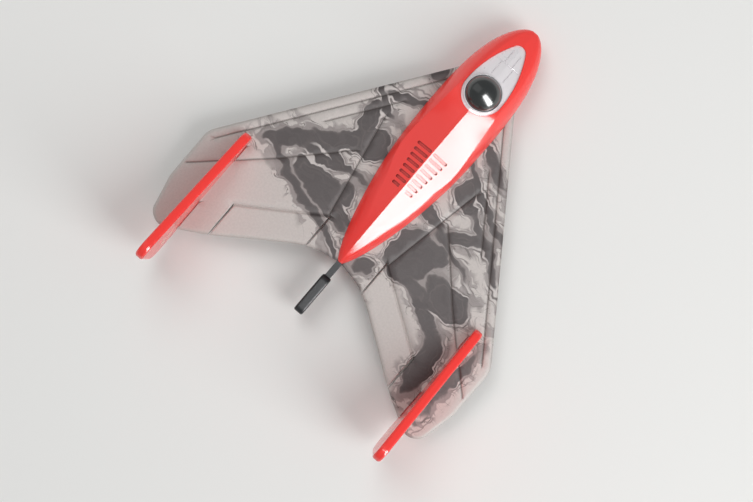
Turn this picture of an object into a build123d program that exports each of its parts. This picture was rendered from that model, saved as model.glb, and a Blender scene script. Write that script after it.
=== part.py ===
from build123d import *
from math import atan2, cos, degrees, hypot, radians, sin, tan
import os

# Foam bungee glider, in millimetres.
# +X points to the nose, +Y to port (left), +Z up. The origin is at the bottom centre of the
# bounding box. Lengthwise places are stations, counted forward from the pod's tail point.

os.makedirs("parts", exist_ok=True)

# ---------------------------------------------------------------- driving dimensions
pod_length = 111.0
pod_width = 28.0
wing_span = 137.0
wing_thickness = 4.0
fin_height = 29.0            # above the wing's top face, at the fin's rear
fin_thickness = 3.5
fin_overhang = 45.0          # how far the fins reach behind the pod's tail point
canopy_diameter = 13.6
shell_wall = 1.3

# Heights
wing_underside_z = 8.0
wing_top_z = wing_underside_z + wing_thickness
parting_z = wing_underside_z + wing_thickness / 2
ridge_rise = 10.2            # the pod's roof above the wing's top face
ridge_z = wing_top_z + ridge_rise
belly_z = -0.8               # the belly's arch is trimmed flat at the resting plane, z = 0
chin_z = 6.0                 # underside of the pod under its nose
tail_cover = 0.9             # shell over and under the foam at the pod's tail

# Fits
flap_gap = 0.3               # between a flap's round nose and the foam round it
flap_side_gap = 0.5          # between a flap's side edges and the wing
seat_gap = 0.05              # pieces that are glued or pressed into a seat
peg_gap = 0.3                # round the pegs where they pass through the foam

# The bounding box runs from the fins' rear edges to the nose tip.
tail_x = (fin_overhang - pod_length) / 2


def at(station):
    """Row X of a lengthwise station."""
    return tail_x + station


def ease(value, start, end):
    """Smooth step from 0 at start to 1 at end."""
    share = min(max((value - start) / (end - start), 0.0), 1.0)
    return share * share * (3.0 - 2.0 * share)


def save(part, name):
    """Label a finished piece and write it as its own node."""
    part.label = name
    export_step(part, f"parts/{name}.step")


# ---------------------------------------------------------------- the pod's outer form
widest_station = 0.595 * pod_length
roof_station = 0.65 * pod_length      # where the roof is highest
belly_mid_station = 0.37 * pod_length
chin_start = 0.57 * pod_length
chin_end = 0.76 * pod_length
nose_margin = 0.25                    # the form's curves meet this far past the nose
tail_margin = 1.0                     # and this far past the tail
roof_angle = 25.0                     # slope of the two roof facets
deck_angle = 6.0                      # slope of the roof beside the cockpit
crease_knee = 0.505 * pod_length      # where the facets reach out nearest to the pod's side
crease_end = 0.16 * pod_length        # where the creases meet the ridge


def pod_half_width(station):
    """Half the pod's width at the parting plane."""
    if station > widest_station:
        run = (station - widest_station) / (pod_length + nose_margin - widest_station)
        return pod_width / 2 * (1.0 - run**2.8) ** 0.56
    run = (widest_station - station) / (widest_station + tail_margin)
    return pod_width / 2 * (1.0 - run**2) ** 0.7


def roof_z(station):
    """Height of the pod's ridge."""
    if station > roof_station:
        run = (station - roof_station) / (pod_length + nose_margin - roof_station)
        return parting_z + (ridge_z - parting_z) * (1.0 - run**1.5) ** 0.75
    run = (roof_station - station) / (roof_station + tail_margin)
    low = wing_top_z + tail_cover
    return low + (ridge_z - low) * (1.0 - run**2) ** 0.62


def keel_z(station):
    """Height of the pod's underside."""
    if station > chin_end:
        run = (station - chin_end) / (pod_length + nose_margin - chin_end)
        return parting_z - (parting_z - chin_z) * (1.0 - run**2.4) ** 0.56
    if station > belly_mid_station:
        return belly_z + (chin_z - belly_z) * ease(station, chin_start, chin_end)
    run = (belly_mid_station - station) / (belly_mid_station + tail_margin)
    high = wing_underside_z - tail_cover
    return high - (high - belly_z) * (1.0 - run**2) ** 0.62


def crease_half_width(station):
    """Distance of a facet's outer crease from the ridge, seen from above."""
    widest = 0.83 * pod_half_width(crease_knee)
    nose_share = ease(station, crease_knee, pod_length) ** 0.5
    forward = widest - (widest - 0.55 * pod_half_width(station)) * nose_share
    slope = widest / (crease_knee - crease_end)
    aft = max(slope * (station - crease_end), 0.0) + 0.2 * pod_half_width(station)
    return min(forward, aft, 0.86 * pod_half_width(station))


def facet_angle(station):
    """Sideways slope of the roof, steep behind the cockpit and flat beside it."""
    flattening = ease(station, 0.53 * pod_length, 0.70 * pod_length)
    return radians(roof_angle + (deck_angle - roof_angle) * flattening)


def pod_form(inset, first_station, last_station, count=15):
    """Solid of the pod's form, inset all round, between two stations.

    Under a shallow nose the inset takes at most 0.6 of the depth below the parting plane.
    """
    middle = (first_station + last_station) / 2
    half = (last_station - first_station) / 2
    with BuildPart() as form:
        for index in range(count):
            station = middle - half * cos(radians(180.0 * index / (count - 1)))
            side = pod_half_width(station) - inset
            crease = crease_half_width(station) - 0.4 * inset
            drop = crease_half_width(station) * tan(facet_angle(station))
            top = roof_z(station) - inset / cos(facet_angle(station))
            eave = max(roof_z(station) - inset - drop, parting_z + 0.35 * (top - parting_z))
            flat = 0.45 * pod_half_width(station)
            keel = keel_z(station) + min(inset, 0.6 * (parting_z - keel_z(station)))
            upper_bend = (crease + 0.66 * (side - crease), parting_z + 0.62 * (eave - parting_z))
            lower_bend = (flat + 0.80 * (side - flat), parting_z - 0.58 * (parting_z - keel))
            with BuildSketch(Plane(origin=(at(station), 0, 0), x_dir=(0, 1, 0), z_dir=(1, 0, 0))):
                with BuildLine():
                    Line((-flat, keel), (flat, keel))
                    ThreePointArc((flat, keel), lower_bend, (side, parting_z))
                    ThreePointArc((side, parting_z), upper_bend, (crease, eave))
                    Line((crease, eave), (0, top))
                    Line((0, top), (-crease, eave))
                    ThreePointArc((-crease, eave), (-upper_bend[0], upper_bend[1]), (-side, parting_z))
                    ThreePointArc((-side, parting_z), (-lower_bend[0], lower_bend[1]), (-flat, keel))
                make_face()
        loft()
    return form.part


outer_form = pod_form(0.0, 0.0, pod_length, 19)
cavity_form = pod_form(shell_wall, 0.1 * pod_length, 0.945 * pod_length)


def slab(low, high):
    """Block over the whole glider between two heights, for trimming."""
    with BuildPart(Plane.XY.offset(low)) as block:
        Box(3 * pod_length, 3 * wing_span, high - low, align=(Align.CENTER, Align.CENTER, Align.MIN))
    return block.part


# ---------------------------------------------------------------- foam wing: outline and sheet
half_span = wing_span / 2
foam_front_station = pod_length - 27.0     # the foam stops here, inside the pod
foam_edge_radius = 1.2
front_corner_radius = 9.0
rear_corner_radius = 5.0
fin_offset = half_span - 13.0              # middle of each fin from the centre line
leading_root = (foam_front_station, pod_width / 2 - 1.0)
leading_tip = (5.5, half_span)
tip_middle = (-16.0, half_span)
tip_rear = (-30.5, half_span - 3.2)
trailing_tip = (-33.3, half_span - 8.5)
trailing_outer = (-23.8, 0.635 * half_span)
trailing_middle = (-12.0, 0.387 * half_span)
trailing_inner = (-3.2, 0.184 * half_span)


def on_wing(point):
    """Row X and Y of a point given as (station, distance to port)."""
    return (at(point[0]), point[1])


with BuildSketch(Plane.XY.offset(wing_underside_z)) as foam_outline:
    with BuildLine():
        Polyline(
            on_wing((0.0, 0.0)),
            on_wing((foam_front_station, 0.0)),
            on_wing(leading_root),
            on_wing(leading_tip),
            on_wing(tip_middle),
            on_wing(tip_rear),
            on_wing(trailing_tip),
        )
        Spline(
            on_wing(trailing_tip),
            on_wing(trailing_outer),
            on_wing(trailing_middle),
            on_wing(trailing_inner),
            on_wing((0.0, 0.0)),
        )
    make_face()
    tip_corners = [v for v in foam_outline.vertices() if v.Y > half_span - 10.0]
    fillet([v for v in tip_corners if v.X > at(tip_middle[0] - 1.0)], front_corner_radius)
    tip_corners = [v for v in foam_outline.vertices() if v.Y > half_span - 10.0]
    corner_x = (at(tip_rear[0]), at(trailing_tip[0]))
    fillet([v for v in tip_corners if min(abs(v.X - x) for x in corner_x) < 0.01], rear_corner_radius)
    mirror(about=Plane.XZ)

# ---------------------------------------------------------------- elevons, and where they bend
# Each flap's crease runs straight from an inboard front corner to an outboard one.
crease_inboard = (10.6, 13.8)
crease_outboard = (-9.1, fin_offset - 12.3)
crease_z = wing_underside_z + wing_thickness / 2
flap_nose_radius = wing_thickness / 2
crease_run = hypot(crease_outboard[0] - crease_inboard[0], crease_outboard[1] - crease_inboard[1])
behind = 60.0                # farther aft than any trailing edge


def flap_region(grow_front, grow_side):
    """Plan region behind the port crease line, between the flap's two side edges."""
    slope = (crease_outboard[0] - crease_inboard[0]) / (crease_outboard[1] - crease_inboard[1])
    ahead = grow_front * crease_run / (crease_outboard[1] - crease_inboard[1])
    inboard = crease_inboard[1] - grow_side
    outboard = crease_outboard[1] + grow_side
    front_inboard = crease_inboard[0] - grow_side * slope + ahead
    front_outboard = crease_outboard[0] + grow_side * slope + ahead
    with BuildSketch(Plane.XY.offset(wing_underside_z)) as region:
        with BuildLine():
            Polyline(
                on_wing((front_inboard, inboard)),
                on_wing((front_outboard, outboard)),
                on_wing((-behind, outboard)),
                on_wing((-behind, inboard)),
                close=True,
            )
        make_face()
    return region.sketch


def flap_nose(radius, grow_side):
    """Round bar along the port crease, with its ends cut parallel to the glider's axis."""
    lean = Vector(
        crease_outboard[0] - crease_inboard[0],
        crease_outboard[1] - crease_inboard[1],
        0.0,
    )
    start = Vector(at(crease_inboard[0]), crease_inboard[1], crease_z) - lean * 0.3
    with BuildPart() as bar:
        with BuildSketch(Plane(origin=start, z_dir=lean)):
            Circle(radius)
        extrude(amount=1.6 * crease_run)
        with BuildPart(mode=Mode.INTERSECT):
            width = crease_outboard[1] - crease_inboard[1] + 2 * grow_side
            with Locations((0, (crease_inboard[1] + crease_outboard[1]) / 2, crease_z)):
                Box(4 * pod_length, width, 4 * wing_thickness)
    return bar.part


# The space that the foam takes between the shells.
with BuildPart() as foam_space:
    add(foam_outline.sketch)
    extrude(amount=wing_thickness)

# The foam sheet, whole, with rounded edges.
with BuildPart() as foam_sheet:
    add(foam_outline.sketch)
    extrude(amount=wing_thickness)
    fillet(foam_sheet.edges().group_by(Axis.Z)[0] + foam_sheet.edges().group_by(Axis.Z)[-1], foam_edge_radius)

with BuildPart() as elevon_left:
    add(flap_region(0.0, 0.0))
    extrude(amount=wing_thickness)
    add(flap_nose(flap_nose_radius, 0.0))
    add(foam_sheet.part, mode=Mode.INTERSECT)

with BuildPart() as elevon_right:
    add(mirror(elevon_left.part, about=Plane.XZ, mode=Mode.PRIVATE))

with BuildPart() as flap_space:
    add(flap_region(0.0, flap_side_gap))
    extrude(amount=wing_thickness)
    add(flap_nose(flap_nose_radius + flap_gap, flap_side_gap))
    mirror(about=Plane.XZ)

# ---------------------------------------------------------------- fins
fin_front_station = 14.0
fin_front_height = 6.0
fin_below = 1.5                      # the fins reach this far under the wing
fin_web_station = -17.0              # the rear web runs aft from here through an open slit
fin_tab_station = 3.0                # rear end of the front tab
fin_tab_length = 7.0
fin_top_radius = 5.0
fin_bottom_radius = 7.0
fin_front_radius = 4.0
fin_edge_radius = 1.1
fin_top_z = wing_top_z + fin_height
fin_bottom_z = wing_underside_z - fin_below


def fin(side):
    """Tip fin, side +1 for port and -1 for starboard, with its tab and web through the foam."""
    with BuildPart() as plate:
        with BuildSketch(Plane(origin=(0, side * fin_offset, 0), x_dir=(1, 0, 0), z_dir=(0, -1, 0))) as face:
            with BuildLine():
                Polyline(
                    (at(fin_front_station), wing_top_z),
                    (at(fin_front_station), wing_top_z + fin_front_height),
                    (at(-fin_overhang), fin_top_z),
                    (at(-fin_overhang), fin_bottom_z),
                    (at(fin_web_station), fin_bottom_z),
                    (at(fin_web_station), wing_top_z),
                    close=True,
                )
            make_face()
            fillet(face.vertices().sort_by(Axis.Y)[-1], fin_top_radius)
            low_rear = [v for v in face.vertices() if v.X < at(1 - fin_overhang) and v.Y < wing_top_z]
            fillet(low_rear, fin_bottom_radius)
            front_top = [v for v in face.vertices() if v.X > at(fin_front_station - 1) and v.Y > wing_top_z + 1]
            fillet(front_top, fin_front_radius)
        extrude(amount=fin_thickness / 2, both=True)
        flat_faces = plate.faces().filter_by(Axis.Y)
        outline = flat_faces.edges()
        exposed = [e for e in outline if e.center().Z > wing_top_z + 0.5 or e.center().X < at(fin_web_station - 5.0)]
        fillet(exposed, fin_edge_radius)
        with Locations((at(fin_tab_station), side * fin_offset, wing_underside_z)):
            Box(fin_tab_length, fin_thickness, wing_thickness, align=(Align.MIN, Align.CENTER, Align.MIN))
    return plate.part


fin_left = fin(1)
fin_right = fin(-1)

with BuildPart() as fin_space:
    for side in (1, -1):
        with Locations((at(fin_tab_station), side * fin_offset, wing_underside_z)):
            Box(fin_tab_length, fin_thickness, wing_thickness, align=(Align.MIN, Align.CENTER, Align.MIN))
        with Locations((at(fin_web_station), side * fin_offset, wing_underside_z)):
            Box(behind, fin_thickness, wing_thickness, align=(Align.MAX, Align.CENTER, Align.MIN))

# ---------------------------------------------------------------- tail grip
grip_thickness = 3.8
grip_height = 9.4
grip_front_station = -7.0
grip_rear_station = -24.0
grip_top_z = wing_top_z + 2.4
grip_hole_radius = 1.5
grip_hole_inset = 3.6                # hole's middle from the grip's rear edge
grip_stem_width = 2.4
anchor_station = 9.0                 # the stem ends in a cross head held in the foam
anchor_length = 3.5
anchor_width = 7.0
rib_count = 4
rib_pitch = 2.2
rib_width = 1.0
rib_depth = 0.35


def grip_anchor(gap):
    """Stem and cross head, as thick as the foam that they lie in."""
    with BuildPart() as anchor:
        with Locations((at(grip_front_station - 1.0), 0, wing_underside_z)):
            stem_length = anchor_station + 1.0 - (grip_front_station - 1.0)
            width = grip_stem_width + 2 * gap
            Box(stem_length, width, wing_thickness, align=(Align.MIN, Align.CENTER, Align.MIN))
        with Locations((at(anchor_station - gap), 0, wing_underside_z)):
            length = anchor_length + 2 * gap
            Box(length, anchor_width + 2 * gap, wing_thickness, align=(Align.MIN, Align.CENTER, Align.MIN))
    return anchor.part


grip_hole_x = at(grip_rear_station + grip_hole_inset)
grip_middle_z = grip_top_z - grip_height / 2

with BuildPart() as tail_grip:
    with BuildSketch(Plane.XZ) as paddle_face:
        with Locations((at((grip_front_station + grip_rear_station) / 2), grip_middle_z)):
            RectangleRounded(grip_front_station - grip_rear_station, grip_height, 2.4)
    extrude(amount=grip_thickness / 2, both=True)
    fillet(tail_grip.faces().filter_by(Axis.Y).edges(), 0.7)
    with BuildSketch(Plane.XZ):
        with Locations((grip_hole_x, grip_middle_z)):
            Circle(grip_hole_radius)
    extrude(amount=grip_thickness, both=True, mode=Mode.SUBTRACT)
    for side in (1, -1):
        for index in range(rib_count):
            rib_x = at(grip_front_station - 2.6 - index * rib_pitch)
            with Locations((rib_x, side * grip_thickness / 2, grip_middle_z)):
                Box(rib_width, 2 * rib_depth, 0.66 * grip_height, mode=Mode.SUBTRACT)
    add(grip_anchor(0.0))

# ---------------------------------------------------------------- pegs that tie the shells together
peg_radius = 1.6
peg_stations = (0.32 * pod_length, 0.56 * pod_length)
peg_tip_z = 3.2
socket_radius = 3.1
socket_floor_z = 2.6


def posts(radius, low, high):
    """Round posts at the peg stations."""
    with BuildPart() as group:
        for station in peg_stations:
            with Locations((at(station), 0, low)):
                Cylinder(radius, high - low, align=(Align.CENTER, Align.CENTER, Align.MIN))
    return group.part


with BuildPart() as wing_panel:
    add(foam_sheet.part)
    add(flap_space.part, mode=Mode.SUBTRACT)
    add(fin_space.part, mode=Mode.SUBTRACT)
    add(grip_anchor(seat_gap), mode=Mode.SUBTRACT)
    add(posts(peg_radius + peg_gap, 0.0, ridge_z), mode=Mode.SUBTRACT)

# ---------------------------------------------------------------- cockpit: deck and canopy
canopy_station = 0.726 * pod_length
deck_tip_station = 0.905 * pod_length
deck_radius = canopy_diameter / 2 + 1.4
deck_tip_radius = 3.0
deck_recess = 0.5                    # deck below the shell round it, which stands up as a rim
deck_thickness = 1.0
deck_ledge = 0.6                     # width of the ledge that the deck rests on
deck_ledge_thickness = 1.0
deck_groove_width = 0.35
deck_groove_depth = 0.25
collar_radius = canopy_diameter / 2 + 0.5
collar_rise = 0.45
canopy_height = 5.6
canopy_wall = 1.0
canopy_skirt = 0.9
collar_floor = 0.7

deck_reach = (0.60 * pod_length, 0.965 * pod_length)
deck_top_form = pod_form(deck_recess, *deck_reach)
deck_under_form = pod_form(deck_recess + deck_thickness, *deck_reach)
ledge_under_form = pod_form(deck_recess + deck_thickness + deck_ledge_thickness, *deck_reach)


def deck_column(grow):
    """Column with the deck's egg-shaped plan: an arc round the canopy, two long sides and a tip."""
    wide = deck_radius + grow
    tip = deck_tip_radius + grow
    reach = deck_tip_station - canopy_station
    side = (reach**2 + wide**2 - tip**2) / (2 * (wide - tip))
    lean = atan2(side - wide, reach)
    halfway = (radians(90.0) + lean) / 2
    centre_x = at(canopy_station)
    tip_x = at(deck_tip_station)
    bulge = (centre_x + side * cos(halfway), side * sin(halfway) - (side - wide))
    join = (tip_x + tip * cos(lean), tip * sin(lean))
    with BuildPart() as column:
        with BuildSketch(Plane.XY.offset(parting_z)):
            with BuildLine():
                ThreePointArc((centre_x, -wide), (centre_x - wide, 0), (centre_x, wide))
                ThreePointArc((centre_x, wide), bulge, join)
                ThreePointArc(join, (tip_x + tip, 0), (join[0], -join[1]))
                ThreePointArc((join[0], -join[1]), (bulge[0], -bulge[1]), (centre_x, -wide))
            make_face()
        extrude(amount=2 * ridge_z)
    return column.part


canopy_lean = degrees(atan2(roof_z(canopy_station - 1.0) - roof_z(canopy_station + 1.0), 2.0))
canopy_seat_z = roof_z(canopy_station) - deck_recess
canopy_plane = Plane(
    origin=(at(canopy_station), 0, canopy_seat_z),
    z_dir=(sin(radians(canopy_lean)), 0, cos(radians(canopy_lean))),
)
canopy_radius = canopy_diameter / 2

groove_floor_form = pod_form(deck_recess + deck_groove_depth, *deck_reach)

# Moulded panel lines ahead of the canopy: two long ones that step inward, and a cross line.
groove_rear_station = 0.797 * pod_length
groove_step_station = 0.85 * pod_length
groove_front_station = 0.905 * pod_length
groove_wide = 2.7
groove_narrow = 1.7
groove_cross_length = 10.0
standing = (Align.MIN, Align.CENTER, Align.MIN)

with BuildPart() as groove_cut:
    for side in (1, -1):
        with Locations((at(groove_rear_station), side * groove_wide, parting_z)):
            Box(groove_step_station - groove_rear_station, deck_groove_width, ridge_z, align=standing)
        with Locations((at(groove_step_station), side * groove_narrow, parting_z)):
            Box(groove_front_station - groove_step_station, deck_groove_width, ridge_z, align=standing)
    with Locations((at(groove_step_station), 0, parting_z)):
        Box(deck_groove_width, groove_cross_length, ridge_z, align=standing)
    add(groove_floor_form, mode=Mode.SUBTRACT)

with BuildPart() as cockpit_deck:
    add(deck_column(-seat_gap))
    add(deck_top_form, mode=Mode.INTERSECT)
    add(deck_under_form, mode=Mode.SUBTRACT)
    with BuildSketch(canopy_plane.offset(-canopy_skirt - collar_floor)):
        Circle(collar_radius)
    extrude(amount=canopy_skirt + collar_floor + collar_rise)
    with BuildSketch(canopy_plane.offset(-canopy_skirt)):
        Circle(canopy_radius + seat_gap)
    extrude(amount=2 * canopy_skirt, mode=Mode.SUBTRACT)
    add(groove_cut.part, mode=Mode.SUBTRACT)

dome_sphere = (canopy_radius**2 + canopy_height**2) / (2 * canopy_height)
inner_radius = canopy_radius - canopy_wall
inner_height = canopy_height - canopy_wall
inner_sphere = (inner_radius**2 + inner_height**2) / (2 * inner_height)


def dome_shoulder(base, height, sphere):
    """Point halfway along a dome's arc, from its base edge to its crown."""
    half_angle = atan2(base, sphere - height) / 2
    return (sphere * sin(half_angle), height - sphere + sphere * cos(half_angle))


with BuildPart() as canopy_dome:
    with BuildSketch(Plane(origin=canopy_plane.origin, x_dir=canopy_plane.x_dir, z_dir=(0, -1, 0))):
        with BuildLine():
            ThreePointArc(
                (canopy_radius, 0), dome_shoulder(canopy_radius, canopy_height, dome_sphere), (0, canopy_height)
            )
            Line((0, canopy_height), (0, inner_height))
            ThreePointArc((0, inner_height), dome_shoulder(inner_radius, inner_height, inner_sphere), (inner_radius, 0))
            Polyline(
                (inner_radius, 0), (inner_radius, -canopy_skirt), (canopy_radius, -canopy_skirt), (canopy_radius, 0)
            )
        make_face()
    revolve(axis=Axis(canopy_plane.origin, canopy_plane.z_dir))

# ---------------------------------------------------------------- upper shell
louvre_count = 8
louvre_pitch = 2.4
louvre_first_station = 0.318 * pod_length
louvre_width = 1.15
louvre_depth = 0.65
louvre_inner = 0.5                   # from the ridge
louvre_rear_length = 4.2
louvre_front_length = 6.4

with BuildPart() as ledge:
    add(deck_column(1.2))
    add(pod_form(deck_recess + 0.2, *deck_reach), mode=Mode.INTERSECT)
    add(ledge_under_form, mode=Mode.SUBTRACT)

with BuildPart() as deck_pocket:
    add(deck_column(0.0))
    add(deck_under_form, mode=Mode.SUBTRACT)

with BuildPart() as peg_posts:
    add(posts(peg_radius, peg_tip_z, ridge_z))
    add(outer_form, mode=Mode.INTERSECT)

with BuildPart() as upper_shell:
    add(outer_form)
    add(cavity_form, mode=Mode.SUBTRACT)
    add(ledge.part)
    add(slab(-ridge_z, parting_z), mode=Mode.SUBTRACT)
    add(deck_pocket.part, mode=Mode.SUBTRACT)
    add(deck_column(-deck_ledge), mode=Mode.SUBTRACT)
    add(foam_space.part, mode=Mode.SUBTRACT)
    for index in range(louvre_count):
        station = louvre_first_station + index * louvre_pitch
        length = louvre_rear_length + (louvre_front_length - louvre_rear_length) * index / (louvre_count - 1)
        for side in (1, -1):
            middle = louvre_inner + length / 2
            slope = facet_angle(station)
            height = roof_z(station) - middle * tan(slope)
            face_plane = Plane(
                origin=(at(station), side * middle, height),
                x_dir=(1, 0, 0),
                z_dir=(0, side * sin(slope), cos(slope)),
            )
            with BuildSketch(face_plane.offset(-louvre_depth)):
                SlotOverall(length / cos(slope), louvre_width, rotation=90)
            extrude(amount=3 * louvre_depth, mode=Mode.SUBTRACT)
    add(peg_posts.part)

# ---------------------------------------------------------------- ballast and launch hook
weight_length = 12.0
weight_width = 12.0
weight_height = 4.0
weight_front_station = 0.895 * pod_length
weight_underside_z = chin_z + shell_wall + 1.5
rib_thickness = 1.3
hook_thickness = 3.0
hook_front_station = 0.87 * pod_length
hook_stem_length = 4.0
hook_reach = 10.0                    # from the hook's front to the tip of its finger
hook_finger = 1.5
hook_flange_length = 6.4
hook_flange_width = 6.4
hook_flange_thickness = 1.0
pad_top_z = weight_underside_z - hook_flange_thickness

with BuildPart() as nose_weight:
    with BuildSketch(Plane.XY.offset(weight_underside_z)):
        with Locations((at(weight_front_station - weight_length / 2), 0)):
            RectangleRounded(weight_length, weight_width, 1.5)
    extrude(amount=weight_height)
    fillet(nose_weight.edges().group_by(Axis.Z)[-1], 0.6)

with BuildPart() as launch_hook:
    with BuildSketch(Plane.XZ) as hook_side:
        with BuildLine():
            Polyline(
                (at(hook_front_station), pad_top_z),
                (at(hook_front_station), 0.0),
                (at(hook_front_station - hook_reach), 0.0),
                (at(hook_front_station - hook_reach), hook_finger),
                (at(hook_front_station - hook_stem_length), hook_finger),
                (at(hook_front_station - hook_stem_length), pad_top_z),
                close=True,
            )
        make_face()
        fillet([v for v in hook_side.vertices() if v.Y < 0.1 and v.X > at(hook_front_station - 1.0)], 2.2)
        fillet([v for v in hook_side.vertices() if v.X < at(hook_front_station - hook_reach + 0.5)], 0.6)
        inside = [v for v in hook_side.vertices() if abs(v.X - at(hook_front_station - hook_stem_length)) < 0.01]
        fillet([v for v in inside if v.Y < hook_finger + 0.1], 1.0)
    extrude(amount=hook_thickness / 2, both=True)
    with Locations((at(hook_front_station - hook_stem_length / 2), 0, pad_top_z)):
        Box(
            hook_flange_length, hook_flange_width, hook_flange_thickness,
            align=(Align.CENTER, Align.CENTER, Align.MIN),
        )

# ---------------------------------------------------------------- lower shell
pad_width = 8.0

with BuildPart() as inner_features:
    add(posts(socket_radius, 0.0, wing_underside_z))
    with Locations((at(hook_front_station - hook_stem_length / 2), 0, 0)):
        Box(hook_flange_length + 1.0, pad_width, pad_top_z, align=(Align.CENTER, Align.CENTER, Align.MIN))
    for rib_front in (weight_front_station, weight_front_station - weight_length + rib_thickness):
        with Locations((at(rib_front), 0, 0)):
            Box(rib_thickness, pod_width, weight_underside_z, align=(Align.MAX, Align.CENTER, Align.MIN))
    add(outer_form, mode=Mode.INTERSECT)

with BuildPart() as lower_shell:
    add(outer_form)
    add(cavity_form, mode=Mode.SUBTRACT)
    add(inner_features.part)
    add(slab(parting_z, 3 * ridge_z), mode=Mode.SUBTRACT)
    add(slab(-ridge_z, 0.0), mode=Mode.SUBTRACT)
    add(foam_space.part, mode=Mode.SUBTRACT)
    add(posts(peg_radius + seat_gap, socket_floor_z, parting_z), mode=Mode.SUBTRACT)
    with Locations((at(hook_front_station - hook_stem_length / 2), 0, 0)):
        Box(
            hook_stem_length + 2 * seat_gap, hook_thickness + 2 * seat_gap, pad_top_z,
            align=(Align.CENTER, Align.CENTER, Align.MIN), mode=Mode.SUBTRACT,
        )

# ---------------------------------------------------------------- write the pieces
save(wing_panel.part, "wing_panel")
save(elevon_left.part, "elevon_left")
save(elevon_right.part, "elevon_right")
save(upper_shell.part, "fuselage_upper_shell")
save(lower_shell.part, "fuselage_lower_shell")
save(cockpit_deck.part, "cockpit_deck")
save(canopy_dome.part, "canopy_dome")
save(fin_left, "fin_left")
save(fin_right, "fin_right")
save(tail_grip.part, "tail_grip")
save(launch_hook.part, "launch_hook")
save(nose_weight.part, "nose_weight")
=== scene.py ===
"""Toy foam glider: moulded foam wing with bending flaps, glossy plastic pod, canopy and tip fins.

Lengthwise places are stations, counted forward from the pod's tail point in millimetres, and
places across are distances to port. Every object is in metres in the part's own frame:
+X to the nose, +Y to port, +Z up.
"""
import logging
from dataclasses import dataclass, field
from enum import Enum
from math import atan2, cos, hypot, pi, radians, sin, tan

import bmesh
import bpy
import numpy as np
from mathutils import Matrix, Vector
from mathutils.geometry import delaunay_2d_cdt


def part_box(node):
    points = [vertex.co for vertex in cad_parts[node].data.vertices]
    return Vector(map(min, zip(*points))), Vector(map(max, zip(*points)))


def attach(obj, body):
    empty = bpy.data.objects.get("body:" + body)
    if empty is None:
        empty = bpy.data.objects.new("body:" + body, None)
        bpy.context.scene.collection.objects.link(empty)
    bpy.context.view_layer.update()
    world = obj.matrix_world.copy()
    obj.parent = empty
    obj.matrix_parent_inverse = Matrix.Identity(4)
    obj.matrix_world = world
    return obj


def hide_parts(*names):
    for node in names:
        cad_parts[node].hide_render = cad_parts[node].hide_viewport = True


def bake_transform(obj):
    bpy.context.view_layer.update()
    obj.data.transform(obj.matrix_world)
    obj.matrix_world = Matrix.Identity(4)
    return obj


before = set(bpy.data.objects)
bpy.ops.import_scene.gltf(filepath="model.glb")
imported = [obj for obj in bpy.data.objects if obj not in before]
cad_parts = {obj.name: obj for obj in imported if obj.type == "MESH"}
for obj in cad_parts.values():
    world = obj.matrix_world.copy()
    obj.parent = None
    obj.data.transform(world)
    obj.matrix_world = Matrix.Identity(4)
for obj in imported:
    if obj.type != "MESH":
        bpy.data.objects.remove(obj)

log = logging.getLogger("glider")

MM = 0.001

# The print is laid out flat, on a square of this many millimetres about the pod's tail point.
PLAN_LAYER = "plan"
PLAN_SIZE = 200.0

Point = tuple[float, float]
Colour = tuple[float, float, float, float]
Tree = bpy.types.NodeTree
Node = bpy.types.Node
Socket = bpy.types.NodeSocket
Material = bpy.types.Material


class Side(Enum):
    """The two halves of the glider, with the sign of their distance to port."""

    PORT = 1
    STARBOARD = -1


def linear(code: str) -> Colour:
    """Turn an sRGB hex colour into the linear colour that a shader takes.

    Args:
        code: six hex digits, with or without a leading hash.

    Returns:
        Red, green, blue and an alpha of one.
    """
    digits = code.lstrip("#")
    shares = [int(digits[i:i + 2], 16) / 255 for i in (0, 2, 4)]
    red, green, blue = (c / 12.92 if c <= 0.04045 else ((c + 0.055) / 1.055) ** 2.4 for c in shares)
    return (red, green, blue, 1.0)


def add_node(tree: Tree, kind: str, settings: dict | None = None, inputs: dict | None = None) -> Node:
    """Add a shader node with its settings and its links.

    Args:
        tree: the node tree that takes it.
        kind: the shader node's type name, without its first word.
        settings: values for the node's own properties.
        inputs: for each input's name or number, a value, a socket to link from, or a node
            whose first output it links from.

    Returns:
        The new node.
    """
    made = tree.nodes.new("ShaderNode" + kind)
    for name, value in (settings or {}).items():
        setattr(made, name, value)
    for key, value in (inputs or {}).items():
        if isinstance(value, Node):
            value = value.outputs[0]
        if isinstance(value, Socket):
            tree.links.new(value, made.inputs[key])
        else:
            made.inputs[key].default_value = value
    return made


def blend_colours(tree: Tree, share: Socket | Node, low: Colour | Socket, high: Colour | Socket) -> Socket:
    """Go from one colour to another.

    Args:
        tree: the node tree that takes the step.
        share: how much of the second colour there is.
        low: the first colour.
        high: the second colour.

    Returns:
        The socket of the resulting colour.
    """
    return add_node(tree, "Mix", {"data_type": "RGBA"}, {"Factor": share, 6: low, 7: high}).outputs[2]


def compute(tree: Tree, operation: str, *values: Socket | Node | float) -> Socket:
    """Work out one number from others.

    Args:
        tree: the node tree that takes the step.
        operation: the math node's operation.
        values: its inputs in turn.

    Returns:
        The socket of the result.
    """
    return add_node(tree, "Math", {"operation": operation}, dict(enumerate(values))).outputs[0]


def noise(tree: Tree, place: Socket | Node, pitch: float, detail: float, dimensions: str = "3D",
          **more: float) -> Node:
    """Add a noise.

    Args:
        tree: the node tree that takes it.
        place: the place it is laid over.
        pitch: size of its largest swells, in the place's unit.
        detail: number of finer layers.
        dimensions: "3D" through the body, or "2D" for a flat print.
        more: values for its other inputs.

    Returns:
        The noise node.
    """
    return add_node(tree, "TexNoise", {"noise_dimensions": dimensions}, {
        "Vector": place, "Scale": 1 / pitch, "Detail": detail, **more})


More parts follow.
